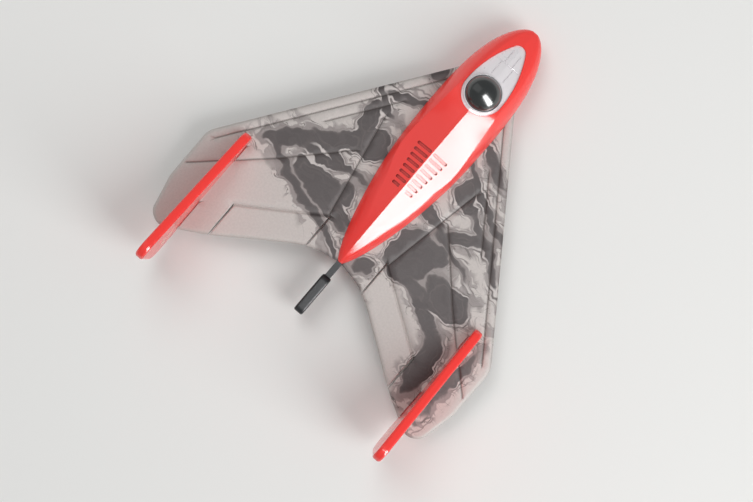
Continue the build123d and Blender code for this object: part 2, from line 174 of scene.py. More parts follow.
def blank_material(name: str) -> tuple[Material, Tree]:
    """Make an empty node material.

    Args:
        name: the material's name.

    Returns:
        The material and its node tree.
    """
    material = bpy.data.materials.new(name)
    material.use_nodes = True
    material.node_tree.nodes.clear()
    return material, material.node_tree


def finish_material(tree: Tree, shader: Node) -> None:
    """Link a shader to the material's output.

    Args:
        tree: the material's node tree.
        shader: the last shader node.
    """
    add_node(tree, "OutputMaterial", inputs={"Surface": shader.outputs[0]})


def set_ramp(node: Node, stops: list[tuple[float, str]]) -> None:
    """Give a colour ramp its stops.

    Args:
        node: the colour ramp node.
        stops: each stop's place, from 0 to 1, and its sRGB hex colour.
    """
    elements = node.color_ramp.elements
    while len(elements) < len(stops):
        elements.new(1.0)
    for element, (place, code) in zip(elements, stops):
        element.position = place
        element.color = linear(code)


# ------------------------------------------------------------------------------ finishes
def painted_crevice_shade(tree: Tree, colour: Socket, tone: str, reach_mm: float, span: tuple[float, float]) -> Socket:
    """Darken a colour in narrow slots with ambient occlusion: painted shade where the walls close in.

    Args:
        tree: the material's node tree.
        colour: socket of the unshaded colour.
        tone: sRGB hex colour of the painted shade.
        reach_mm: how far the walls are looked for.
        span: openness at which the painted shade is full, and at which it is gone.

    Returns:
        The socket of the colour with the painted shade on it.
    """
    deep = add_node(tree, "AmbientOcclusion", {"samples": 4, "only_local": True}, {
        "Distance": reach_mm * MM})
    share = add_node(tree, "MapRange", inputs={
        "Value": deep.outputs["AO"], "From Min": span[0], "From Max": span[1]})
    return blend_colours(tree, share, linear(tone), colour)


@dataclass(frozen=True)
class MouldedPlastic:
    """Injection-moulded thermoplastic from a polished or a spark-eroded tool.

    A polished tool leaves a hard gloss with a faint orange-peel ripple, and an eroded tool a
    fine even grain. Flow in the mould shifts the tint a little over centimetres.
    """

    name: str
    colour: str
    flow_colour: str
    roughness: float = 0.16
    roughness_spread: float = 0.06
    ior: float = 1.54
    coat: float = 0.0
    coat_roughness: float = 0.04
    flow_mm: float = 26.0
    haze_mm: float = 5.0
    ripple_mm: float = 2.2
    ripple_height_mm: float = 0.006
    grain_mm: float = 0.0
    grain_height_mm: float = 0.0
    edge_mm: float = 0.25
    # Colour of the painted shade in narrow slots; none if empty.
    slot_shade: str = ""
    slot_reach_mm: float = 1.6
    slot_span: tuple[float, float] = (0.35, 0.85)

    def surface(self, tree: Tree, colour: Socket | None = None, metallic: float = 0.0) -> Node:
        """Build the plastic's shader in a tree.

        Args:
            tree: the material's node tree.
            colour: socket of a colour that replaces the plain tint, if any.
            metallic: metal share of the base, for a filled or metal-coated plastic.

        Returns:
            The Principled shader node.
        """
        place = add_node(tree, "TexCoord").outputs["Object"]
        flow = noise(tree, place, self.flow_mm * MM, 2.0)
        haze = noise(tree, place, self.haze_mm * MM, 4.0)
        ripple = noise(tree, place, self.ripple_mm * MM, 1.0)
        colour = colour or blend_colours(tree, flow, linear(self.colour), linear(self.flow_colour))
        # Painted shade: a darker colour laid into the narrow slots.
        if self.slot_shade:
            colour = painted_crevice_shade(tree, colour, self.slot_shade, self.slot_reach_mm, self.slot_span)
        rough = add_node(tree, "MapRange", inputs={
            "Value": haze, "From Min": 0.3, "From Max": 0.7,
            "To Min": self.roughness, "To Max": self.roughness + self.roughness_spread})
        edge = add_node(tree, "Bevel", {"samples": 4}, {"Radius": self.edge_mm * MM})
        bump = add_node(tree, "Bump", inputs={
            "Height": ripple, "Distance": self.ripple_height_mm * MM, "Strength": 1.0, "Normal": edge})
        if self.grain_mm:
            grain = noise(tree, place, self.grain_mm * MM, 2.0)
            bump = add_node(tree, "Bump", inputs={
                "Height": grain, "Distance": self.grain_height_mm * MM, "Strength": 1.0, "Normal": bump})
        return add_node(tree, "BsdfPrincipled", inputs={
            "Base Color": colour, "Roughness": rough, "IOR": self.ior, "Metallic": metallic,
            "Coat Weight": self.coat, "Coat Roughness": self.coat_roughness, "Normal": bump})

    def material(self) -> Material:
        """Make the plastic as a material.

        Returns:
            The new material.
        """
        made, tree = blank_material(self.name)
        finish_material(tree, self.surface(tree))
        return made


# ABS from a polished tool: a saturated red body under a hard, slightly rippled gloss, with painted shade in
# its narrow slots.
RED_FINISH = {
    "colour": "#ff3b35", "flow_colour": "#ff4842", "roughness": 0.17, "coat": 0.3, "coat_roughness": 0.1,
    "slot_shade": "#7c1512"}
RED_ABS = MouldedPlastic("moulded_abs_red", **RED_FINISH)

# Polypropylene from an eroded tool: black with an even satin sheen and a fine grain.
BLACK_POLYPROPYLENE = MouldedPlastic(
    "moulded_polypropylene_black", "#17181b", "#1e1f22", roughness=0.38, roughness_spread=0.12,
    ior=1.49, ripple_height_mm=0.003, grain_mm=0.35, grain_height_mm=0.012)

# Polycarbonate tinted through: nearly black, very glossy, with a clear hard surface.
SMOKED_POLYCARBONATE = MouldedPlastic(
    "moulded_polycarbonate_smoked", "#15191a", "#1e2424", roughness=0.2, roughness_spread=0.05,
    ior=1.585, coat=0.8, coat_roughness=0.12, ripple_mm=3.0, ripple_height_mm=0.002, edge_mm=0.15)


@dataclass(frozen=True)
class MarkedFin(MouldedPlastic):
    """Red ABS with two slanted bars pad-printed low at the fin's rear."""

    mark_colour: str = "#f7a184"
    mark_rear_mm: float = -72.0
    mark_front_mm: float = -63.5
    mark_low_mm: float = 14.0
    mark_high_mm: float = 21.0
    bar_pitch_mm: float = 4.2
    bar_share: float = 0.55
    bar_lean: float = 0.5

    def material(self) -> Material:
        """Make the marked plastic as a material.

        Returns:
            The new material.
        """
        made, tree = blank_material(self.name)
        place = add_node(tree, "TexCoord").outputs["Object"]
        parts = add_node(tree, "SeparateXYZ", inputs={0: place}).outputs
        lean = compute(tree, "MULTIPLY_ADD", parts["Z"], -self.bar_lean, parts["X"])
        start = (self.mark_rear_mm - self.bar_lean * self.mark_low_mm) * MM
        count = compute(tree, "SUBTRACT", lean, start)
        share = compute(tree, "DIVIDE", count, self.bar_pitch_mm * MM)
        mask = compute(tree, "LESS_THAN", compute(tree, "FRACT", share), self.bar_share)
        span = self.mark_front_mm - self.mark_rear_mm
        limits = (
            ("GREATER_THAN", share, 0.0),
            ("LESS_THAN", share, span / self.bar_pitch_mm),
            ("GREATER_THAN", parts["Z"], self.mark_low_mm * MM),
            ("LESS_THAN", parts["Z"], self.mark_high_mm * MM),
        )
        for operation, value, limit in limits:
            mask = compute(tree, "MULTIPLY", mask, compute(tree, operation, value, limit))
        colour = blend_colours(tree, mask, linear(self.colour), linear(self.mark_colour))
        finish_material(tree, self.surface(tree, colour))
        return made


# The same red ABS, pad-printed: the pale ink lies flat in the gloss.
RED_ABS_FIN = MarkedFin("moulded_abs_red_marked", **RED_FINISH)


@dataclass(frozen=True)
class SilverPlastic(MouldedPlastic):
    """ABS with aluminium flake moulded in: a soft metallic grey that sparkles very finely."""

    flake_mm: float = 0.3
    flake_colour: str = "#f4eff1"
    flake_strength: float = 0.45
    metal_share: float = 0.12

    def material(self) -> Material:
        """Make the flaked plastic as a material.

        Returns:
            The new material.
        """
        made, tree = blank_material(self.name)
        place = add_node(tree, "TexCoord").outputs["Object"]
        # Real flakes are under 0.05 mm; they are drawn coarser so that they show.
        flakes = add_node(tree, "TexVoronoi", inputs={"Vector": place, "Scale": 1 / (self.flake_mm * MM)})
        bright = add_node(tree, "MapRange", inputs={
            "Value": flakes, "From Min": 0.1, "From Max": 0.5,
            "To Min": self.flake_strength, "To Max": 0.0})
        colour = blend_colours(tree, bright, linear(self.colour), linear(self.flake_colour))
        finish_material(tree, self.surface(tree, colour, metallic=self.metal_share))
        return made


SILVER_ABS = SilverPlastic(
    "moulded_abs_silver_flake", "#e9e5e8", "#e9e5e8", roughness=0.24, roughness_spread=0.1,
    ripple_height_mm=0.004)


@dataclass(frozen=True)
class TurnedSteel:
    """Bright cut steel: fine lengthwise tool lines on a grey metal."""

    name: str = "cut_steel_bright"
    colour: str = "#c5c4c6"
    dark_colour: str = "#8f8e91"
    line_mm: float = 0.25

    def material(self) -> Material:
        """Make the steel as a material.

        Returns:
            The new material.
        """
        made, tree = blank_material(self.name)
        place = add_node(tree, "TexCoord").outputs["Object"]
        stretched = add_node(tree, "Mapping", inputs={"Vector": place, "Scale": (0.04, 1.0, 1.0)})
        lines = noise(tree, stretched, self.line_mm * MM, 3.0)
        colour = blend_colours(tree, lines, linear(self.dark_colour), linear(self.colour))
        rough = add_node(tree, "MapRange", inputs={"Value": lines, "To Min": 0.22, "To Max": 0.45})
        finish_material(tree, add_node(tree, "BsdfPrincipled", inputs={
            "Base Color": colour, "Metallic": 1.0, "Roughness": rough}))
        return made


@dataclass(frozen=True)
class Patch:
    """One dark patch of the camouflage: its middle, its two half-widths and its turn."""

    station: float
    port: float
    long: float
    wide: float
    turn: float = 0.0


@dataclass(frozen=True)
class FoamSkin:
    """Closed-cell foam hot-pressed in a tool: a matt skin with shallow pits of collapsed cells."""

    name: str
    colour: str = "#c1bab6"
    shade_colour: str = "#b3aca9"
    roughness: float = 0.62
    cloud_mm: float = 14.0
    swell_mm: float = 9.0
    swell_height_mm: float = 0.12
    cell_mm: float = 0.9
    pit_height_mm: float = 0.02
    # Colour of the painted shade in pressed lines and other narrow hollows.
    line_shade: str = "#5f5855"
    line_reach_mm: float = 1.2
    line_span: tuple[float, float] = (0.45, 0.93)

    def surface(self, tree: Tree, place: Socket, colour: Socket | None = None) -> Node:
        """Build the foam skin's shader in a tree.

        Args:
            tree: the material's node tree.
            place: socket with the surface's place in millimetres.
            colour: socket of a printed colour, if any.

        Returns:
            The Principled shader node.
        """
        cloud = noise(tree, place, self.cloud_mm, 3.0)
        # Collapsed cells are about 0.3 mm across; they are drawn at three times that so that they show.
        cells = add_node(tree, "TexVoronoi", {"feature": "SMOOTH_F1"}, {
            "Vector": place, "Scale": 1 / self.cell_mm, "Smoothness": 0.6})
        swell = noise(tree, place, self.swell_mm, 1.0)
        low = add_node(tree, "Bump", inputs={
            "Height": swell, "Distance": self.swell_height_mm * MM, "Strength": 1.0})
        pits = add_node(tree, "Bump", inputs={
            "Height": cells, "Distance": self.pit_height_mm * MM, "Strength": 1.0, "Normal": low})
        rough = add_node(tree, "MapRange", inputs={
            "Value": cloud, "To Min": self.roughness - 0.08, "To Max": self.roughness + 0.1})
        unshaded = colour or blend_colours(tree, cloud, linear(self.colour), linear(self.shade_colour))
        # Painted shade: a darker colour laid into pressed lines and narrow hollows.
        colour = painted_crevice_shade(tree, unshaded, self.line_shade, self.line_reach_mm, self.line_span)
        return add_node(tree, "BsdfPrincipled", inputs={
            "Base Color": colour, "Roughness": rough, "IOR": 1.45,
            "Sheen Weight": 0.08, "Sheen Roughness": 0.4, "Normal": pits})

    def material(self) -> Material:
        """Make the plain skin as a material.

        Returns:
            The new material.
        """
        made, tree = blank_material(self.name)
        place = add_node(tree, "TexCoord").outputs["Object"]
        scaled = add_node(tree, "Mapping", inputs={"Vector": place, "Scale": [1 / MM] * 3})
        finish_material(tree, self.surface(tree, scaled.outputs[0]))
        return made


@dataclass(frozen=True)
class PrintedFoam(FoamSkin):
    """The same skin with a marbled grey camouflage printed on it.

    The ink makes dark pools with a pale rim and a thin dark line round it, as inks do that float
    and drag on water before the sheet is laid on them.
    """

    ink: str = "#474040"
    ink_soft: str = "#544c4b"
    rim: str = "#c4bdba"
    line: str = "#67605e"
    half_tone: str = "#8d8583"
    # Each drag's pitch and reach: slow folds, curls, and a faint fray.
    drags_mm: tuple[tuple[float, float], ...] = ((15.0, 2.6), (5.0, 1.8), (1.8, 0.3))
    pool_join_mm: float = 1.6
    field_low_mm: float = -4.0
    field_high_mm: float = 6.0
    ring_pitch_mm: float = 16.0
    film_pitch_mm: float = 5.0
    hair_pitch_mm: float = 8.0
    dot_mm: float = 0.8
    patches: tuple[Patch, ...] = (
        # Port, from the nose aft.
        Patch(77.5, 17, 2.6, 1.8), Patch(63, 20, 0.9, 5, 20), Patch(57, 27, 0.7, 4, -30),
        Patch(48, 26, 6.3, 3.4, 20), Patch(42, 18, 4.6, 6.3, -35), Patch(34.5, 29, 3.2, 9.5, 40),
        Patch(22.5, 44, 2.8, 7.5, 37), Patch(29, 23, 0.9, 7, -5), Patch(26, 28, 0.8, 6, 10),
        Patch(17.2, 25.5, 5.4, 10, -9), Patch(13.5, 19.5, 3, 5, -15), Patch(20.5, 14, 3, 1.8),
        Patch(14, 12, 1.2, 4, -10), Patch(15, 41.5, 0.9, 4.8, -27), Patch(11, 34, 0.9, 4.6, -30),
        Patch(7.8, 24.5, 0.9, 6.6, -12), Patch(4.5, 12.5, 0.9, 6.8, -18), Patch(11, 14, 1.0, 5, -8),
        # Starboard, from the nose aft.
        Patch(64, -20, 1.2, 5.5, -35), Patch(50.5, -28, 0.7, 13, -30), Patch(49.5, -18.5, 4.4, 3.6),
        Patch(46.5, -23.5, 1.6, 3.4, -20), Patch(38, -38, 0.8, 8, -35), Patch(35, -29, 1.6, 7, 29),
        Patch(35, -15, 0.9, 4), Patch(31.5, -23.5, 0.7, 9, -24), Patch(18, -18, 9.5, 8.6),
        Patch(24, -25, 3.5, 4.5), Patch(14.5, -39, 5.3, 9.6, -8), Patch(10.2, -27, 1.5, 6),
        Patch(4.5, -37.5, 2.5, 7, -28), Patch(-10, -47.5, 11, 4.6, 8), Patch(4, -7, 3, 2, -20),
        Patch(-8, -60, 9, 1.2),
    )

    def patch_field(self, tree: Tree, place: Socket) -> Socket:
        """Build the distance from the nearest dark patch's edge, in millimetres, negative inside.

        Args:
            tree: the material's node tree.
            place: socket with the dragged place in millimetres.

        Returns:
            The socket of the distance.
        """
        nearest = None
        for patch in self.patches:
            local = add_node(tree, "Mapping", {"vector_type": "TEXTURE"}, {
                "Vector": place, "Location": (patch.station, patch.port, 0.0),
                "Rotation": (0.0, 0.0, radians(patch.turn)), "Scale": (patch.long, patch.wide, 1.0)})
            reach = add_node(tree, "VectorMath", {"operation": "LENGTH"}, {0: local}).outputs["Value"]
            size = min(patch.long, patch.wide)
            gap = compute(tree, "MULTIPLY_ADD", reach, size, -size)
            if nearest is None:
                nearest = gap
            else:
                nearest = compute(tree, "SMOOTH_MIN", nearest, gap, self.pool_join_mm)
        return nearest

    def dragged(self, tree: Tree, place: Socket) -> Socket:
        """Build the place after the ink's drag, large slow folds and then small curls.

        Args:
            tree: the material's node tree.
            place: socket with the surface's place in millimetres.

        Returns:
            The socket of the moved place.
        """
        for pitch, reach in self.drags_mm:
            wave = noise(tree, place, pitch, 1.0, "2D")
            centred = add_node(tree, "VectorMath", {"operation": "SUBTRACT"}, {
                0: wave.outputs["Color"], 1: (0.5, 0.5, 0.5)})
            moved = add_node(tree, "VectorMath", {"operation": "MULTIPLY_ADD"}, {
                0: centred, 1: (2 * reach, 2 * reach, 0.0), 2: place})
            place = moved.outputs[0]
        return place

    def material(self) -> Material:
        """Make the printed skin as a material.

        Returns:
            The new material.
        """
        made, tree = blank_material(self.name)
        sheet = add_node(tree, "UVMap", {"uv_map": PLAN_LAYER}).outputs[0]
        place = add_node(tree, "Mapping", inputs={
            "Vector": sheet, "Scale": (PLAN_SIZE, PLAN_SIZE, 1.0),
            "Location": (-PLAN_SIZE / 2, -PLAN_SIZE / 2, 0.0)}).outputs[0]
        drifted = self.dragged(tree, place)
        field_mm = self.patch_field(tree, drifted)
        share = add_node(tree, "MapRange", inputs={
            "Value": field_mm, "From Min": self.field_low_mm,
            "From Max": self.field_high_mm}).outputs["Result"]
        pools = add_node(tree, "ValToRGB", inputs={0: share})
        set_ramp(pools, [
            (0.0, self.ink), (0.30, self.ink), (0.33, self.ink_soft), (0.36, self.ink), (0.455, self.ink),
            (0.475, self.rim), (0.505, self.rim), (0.52, self.line), (0.545, self.line), (0.565, self.rim),
            (0.62, self.colour), (0.64, self.half_tone), (0.66, self.half_tone), (0.68, self.colour)])
        # Where the ink hasn't drawn back, a pool fades out with no pale rim.
        soft = add_node(tree, "ValToRGB", inputs={0: share})
        set_ramp(soft, [
            (0.0, self.ink), (0.40, self.ink), (0.46, self.ink_soft), (0.49, self.half_tone),
            (0.55, self.half_tone), (0.58, self.colour)])
        drawn = noise(tree, place, self.ring_pitch_mm, 1.0, "2D")
        ringed = add_node(tree, "MapRange", {"interpolation_type": "SMOOTHSTEP"}, {
            "Value": drawn, "From Min": 0.46, "From Max": 0.58})
        edged = blend_colours(tree, ringed, soft, pools)
        # Half tones: torn mid-grey films that lie near the pools only.
        spanwise = add_node(tree, "Mapping", inputs={
            "Vector": drifted, "Scale": (1.0, 0.5, 1.0)}).outputs[0]
        tone = noise(tree, spanwise, self.film_pitch_mm, 4.0, "2D", Distortion=0.8)
        torn = add_node(tree, "MapRange", {"interpolation_type": "SMOOTHSTEP"}, {
            "Value": tone, "From Min": 0.49, "From Max": 0.53})
        near = add_node(tree, "MapRange", {"interpolation_type": "SMOOTHSTEP"}, {
            "Value": field_mm, "From Min": 4.0, "From Max": 2.4})
        outside = add_node(tree, "MapRange", {"interpolation_type": "SMOOTHSTEP"}, {
            "Value": field_mm, "From Min": 0.2, "From Max": 1.6, "To Min": 0.04, "To Max": 0.8})
        reach = compute(tree, "MULTIPLY", near, outside)
        toned = blend_colours(tree, compute(tree, "MULTIPLY", torn, reach), edged, linear(self.half_tone))
        # Hair lines drawn out between the pools.
        hair = noise(tree, spanwise, self.hair_pitch_mm, 2.0, "2D", Distortion=1.6)
        thin = compute(tree, "MULTIPLY", compute(tree, "COMPARE", hair, 0.47, 0.008), reach)
        lined = blend_colours(tree, thin, toned, linear(self.line))
        dots = noise(tree, place, self.dot_mm, 2.0, "2D")
        grain = add_node(tree, "MapRange", inputs={"Value": dots, "To Min": 0.9, "To Max": 1.08})
        inked = add_node(tree, "VectorMath", {"operation": "SCALE"}, {0: lined, "Scale": grain})
        finish_material(tree, self.surface(tree, place, inked.outputs[0]))
        return made


# EVA foam sheet, hot-pressed: matt, softly pitted and pale grey where it isn't printed.
PRESSED_FOAM = FoamSkin("pressed_foam_plain")
PRINTED_FOAM = PrintedFoam("pressed_foam_printed")
CUT_STEEL = TurnedSteel()


# ------------------------------------------------------------------------------ foam sheets
@dataclass(frozen=True)
class Edge:
    """A run of a foam outline: its points as (station, port), and the radius of its edges."""

    points: tuple[Point, ...]
    radius: float


@dataclass(frozen=True)
class Groove:
    """A line pressed into a foam sheet."""

    points: tuple[Point, ...]
    half_width: float = 0.5
    depth: float = 0.42
    under_depth: float = 0.0
    rows: tuple[float, ...] = (-1.0, -0.66, -0.33, 0.0, 0.33, 0.66, 1.0)


def rounded_path(corners: list[tuple[float, float, float]], step_degrees: float = 10.0) -> tuple[Point, ...]:
    """Round a path's inner corners with arcs.

    Args:
        corners: station, distance to port and corner radius of each point in turn.
        step_degrees: angle between an arc's points.

    Returns:
        The path's points.
    """
    path = [corners[0][:2]]
    for before, here, after in zip(corners, corners[1:], corners[2:]):
        corner = Vector(here[:2])
        back = (Vector(before[:2]) - corner).normalized()
        ahead = (Vector(after[:2]) - corner).normalized()
        half = back.angle(ahead) / 2
        if here[2] <= 0 or half > radians(89.5):
            path.append(here[:2])
            continue
        centre = corner + (back + ahead).normalized() * (here[2] / sin(half))
        first = corner + back * (here[2] / tan(half)) - centre
        last = corner + ahead * (here[2] / tan(half)) - centre
        sweep = first.angle_signed(last)
        count = max(2, round(abs(sweep) / radians(step_degrees)))
        start = atan2(first.y, first.x)
        for index in range(count + 1):
            turned = start - sweep * index / count
            path.append((centre.x + here[2] * cos(turned), centre.y + here[2] * sin(turned)))
    path.append(corners[-1][:2])
    return tuple(path)


def smooth_path(points: list[Point], count: int = 24) -> tuple[Point, ...]:
    """Draw a smooth curve through points.

    Args:
        points: the points it passes through.
        count: steps between two of them.

    Returns:
        The curve's points.
    """
    known = [2 * np.array(points[0]) - np.array(points[1]), *map(np.array, points)]
    known.append(2 * known[-1] - known[-2])
    path = []
    for a, b, c, d in zip(known, known[1:], known[2:], known[3:]):
        for t in np.arange(count) / count:
            bend = 2 * b + (c - a) * t + (2 * a - 5 * b + 4 * c - d) * t**2 + (3 * b - a - 3 * c + d) * t**3
            path.append(tuple(bend / 2))
    path.append(tuple(points[-1]))
    return tuple(path)


def mirrored(points: tuple[Point, ...]) -> tuple[Point, ...]:
    """Return the path on the other side, run the other way."""
    return tuple((station, -port) for station, port in reversed(points))


def spaced(points: tuple[Point, ...], step: float) -> np.ndarray:
    """Divide a path's runs so that no step is longer than asked.

    Args:
        points: the path's corners.
        step: longest step allowed.

    Returns:
        The points as rows.
    """
    path = [np.array(points[0], float)]
    for a, b in zip(points, points[1:]):
        a, b = np.array(a, float), np.array(b, float)
        count = max(1, int(np.ceil(np.linalg.norm(b - a) / step)))
        path += [a + (b - a) * (i + 1) / count for i in range(count)]
    return np.array(path)


def distance_to(places: np.ndarray, starts: np.ndarray, ends: np.ndarray) -> np.ndarray:
    """Find how far each place is from the nearest of some straight runs.

    Args:
        places: the places, as rows.
        starts: the runs' first points.
        ends: the runs' last points.

    Returns:
        One distance for each place.
    """
    found = np.full(len(places), 1e9)
    if not len(starts):
        return found
    run = ends - starts
    square = np.maximum((run**2).sum(1), 1e-12)
    for first in range(0, len(places), 1500):
        part = places[first:first + 1500, None, :]
        share = np.clip(((part - starts) * run).sum(2) / square, 0, 1)
        gap = part - (starts + share[..., None] * run)
        found[first:first + 1500] = np.sqrt((gap**2).sum(2)).min(1)
    return found


def inside(places: np.ndarray, starts: np.ndarray, ends: np.ndarray) -> np.ndarray:
    """Tell which places lie inside closed loops, holes left out.

    Args:
        places: the places, as rows.
        starts: first points of all the loops' runs.
        ends: their last points.

    Returns:
        True or false for each place.
    """
    flags = np.zeros(len(places), bool)
    for first in range(0, len(places), 1500):
        x, y = places[first:first + 1500, 0:1], places[first:first + 1500, 1:2]
        crosses = (starts[:, 1] > y) != (ends[:, 1] > y)
        rise = np.where(ends[:, 1] == starts[:, 1], 1e-12, ends[:, 1] - starts[:, 1])
        meets = starts[:, 0] + (y - starts[:, 1]) / rise * (ends[:, 0] - starts[:, 0])
        flags[first:first + 1500] = (crosses & (x < meets)).sum(1) % 2 == 1
    return flags


@dataclass(frozen=True)
class Rim:
    """A panel's outlines as short straight runs: their ends as rows, and their edge radii."""

    starts: np.ndarray
    ends: np.ndarray
    radii: np.ndarray

    def distance(self, places: np.ndarray) -> np.ndarray:
        """Return how far each place is from the outlines."""
        return distance_to(places, self.starts, self.ends)


@dataclass
class FoamSheet:
    """A pressed foam panel: rounded edges, pressed grooves, print on top and plain skin below."""

    name: str
    loops: list[list[Edge]]
    grooves: list[Groove]
    tail_x: float   # metres, as are the bottom and the top
    bottom: float
    top: float
    pitch: float = 1.9
    step: float = 0.85
    turns: tuple[float, ...] = (18, 36, 54, 72, 90)
    rim_clearance: float = 0.04
    row_clearance: float = 0.5
    sharp_angle: float = 42.0

    def build(self) -> bpy.types.Object:
        """Build the panel.

        Returns:
            The new object.
        """
        starts, ends, radii, counts = [], [], [], []
        for loop in self.loops:
            counts.append(0)
            for edge in loop:
                path = spaced(edge.points, self.step)
                counts[-1] += len(path) - 1
                starts.append(path[:-1])
                ends.append(path[1:])
                radii.append(np.full(len(path) - 1, edge.radius))
        rim = Rim(*map(np.concatenate, (starts, ends, radii)))
        places = self.places(rim)
        loose = places[rim.distance(places) > self.rim_clearance]
        loose = loose[inside(loose, rim.starts, rim.ends)]
        corners = np.concatenate([rim.starts, loose])
        runs, base = [], 0
        for count in counts:
            runs += [(base + i, base + (i + 1) % count) for i in range(count)]
            base += count
        flat, _, triangles, *_ = delaunay_2d_cdt([Vector(c) for c in corners], runs, [], 0, 1e-4)
        flat = np.array([tuple(v) for v in flat])
        triangles = np.array([t for t in triangles if len(t) == 3])
        triangles = triangles[inside(flat[triangles].mean(1), rim.starts, rim.ends)]
        return self.skin(flat, triangles, rim)

    def places(self, rim: Rim) -> np.ndarray:
        """Choose the points inside the outline: rows along edges and grooves, and a filling.

        Args:
            rim: the panel's outlines.

        Returns:
            The points, as rows.
        """
        starts, ends, radii = rim.starts, rim.ends, rim.radii
        run = ends - starts
        normal = np.stack([-run[:, 1], run[:, 0]], 1) / np.maximum(np.linalg.norm(run, axis=1), 1e-9)[:, None]
        chosen = []
        for turn in self.turns:
            depth = (radii * (1 - cos(radians(turn))))[:, None]
            soft = radii > 0
            for way in (1, -1):
                row = (starts + ends)[soft] / 2 + way * (normal * depth)[soft]
                clear = rim.distance(row) > 0.96 * depth[soft, 0]
                chosen.append(row[clear])
        lines = []
        for groove in self.grooves:
            path = spaced(groove.points, self.step)
            lean = path[1:] - path[:-1]
            across = np.stack([-lean[:, 1], lean[:, 0]], 1) / np.linalg.norm(lean, axis=1)[:, None]
            middle = (path[1:] + path[:-1]) / 2
            for row in groove.rows:
                chosen.append(middle + across * row * groove.half_width)
            lines.append((path[:-1], path[1:], groove.half_width * max(groove.rows)))
        low, high = starts.min(0), starts.max(0)
        columns = np.arange(low[0], high[0], self.pitch)
        rows = np.arange(low[1], high[1], self.pitch * 0.87)
        fill = np.array([(x + (j % 2) * self.pitch / 2, y) for j, y in enumerate(rows) for x in columns])
        keep = rim.distance(fill) > radii.max() + self.row_clearance
        for first, last, width in lines:
            keep &= distance_to(fill, first, last) > width + self.row_clearance
        chosen.append(fill[keep])
        return np.concatenate(chosen)

    def skin(self, flat: np.ndarray, triangles: np.ndarray, rim: Rim) -> bpy.types.Object:
        """Raise the flat net into a closed panel.

        Args:
            flat: the net's points.
            triangles: its triangles.
            rim: the panel's outlines.

        Returns:
            The new object.
        """
        drop = np.zeros(len(flat))
        for radius in np.unique(rim.radii[rim.radii > 0]):
            which = rim.radii == radius
            near = np.clip(radius - distance_to(flat, rim.starts[which], rim.ends[which]), 0, radius)
            drop = np.maximum(drop, radius - np.sqrt(radius**2 - near**2))
        pressed, pressed_under = np.zeros(len(flat)), np.zeros(len(flat))
        for groove in self.grooves:
            path = spaced(groove.points, self.step)
            share = np.clip(distance_to(flat, path[:-1], path[1:]) / groove.half_width, 0, 1)
            shape = 1 - share * share * (3 - 2 * share)
            pressed = np.maximum(pressed, groove.depth * shape)
            pressed_under = np.maximum(pressed_under, groove.under_depth * shape)
        count = len(flat)
        x = self.tail_x / MM + flat[:, 0]
        upper = np.stack([x, flat[:, 1], self.top / MM - np.maximum(drop, pressed)], 1)
        lower = np.stack([x, flat[:, 1], self.bottom / MM + np.maximum(drop, pressed_under)], 1)
        twice = {}
        for a, b, c in triangles:
            for pair in ((a, b), (b, c), (c, a)):
                key = (min(pair), max(pair))
                twice[key] = None if key in twice else pair
        border = [pair for pair in twice.values() if pair is not None]
        mesh = bpy.data.meshes.new(self.name)
        faces = [tuple(map(int, t)) for t in triangles]
        faces += [(int(c) + count, int(b) + count, int(a) + count) for a, b, c in triangles]
        faces += [(int(b), int(a), int(a) + count, int(b) + count) for a, b in border]
        mesh.from_pydata((np.concatenate([upper, lower]) * MM).tolist(), [], faces)
        for number, face in enumerate(mesh.polygons):
            face.material_index = 0 if number < len(triangles) else 1
            face.use_smooth = True
        layer = mesh.uv_layers.new(name=PLAN_LAYER)
        plan = np.concatenate([flat, flat]) / PLAN_SIZE + 0.5
        corners = np.zeros(len(mesh.loops), int)
        mesh.loops.foreach_get("vertex_index", corners)
        layer.data.foreach_set("uv", plan[corners].astype(np.float32).ravel())
        work = bmesh.new()
        work.from_mesh(mesh)
        bmesh.ops.recalc_face_normals(work, faces=work.faces)
        work.to_mesh(mesh)
        work.free()
        mesh.set_sharp_from_angle(angle=radians(self.sharp_angle))
        made = bpy.data.objects.new(self.name, mesh)
        bpy.context.scene.collection.objects.link(made)
        return made


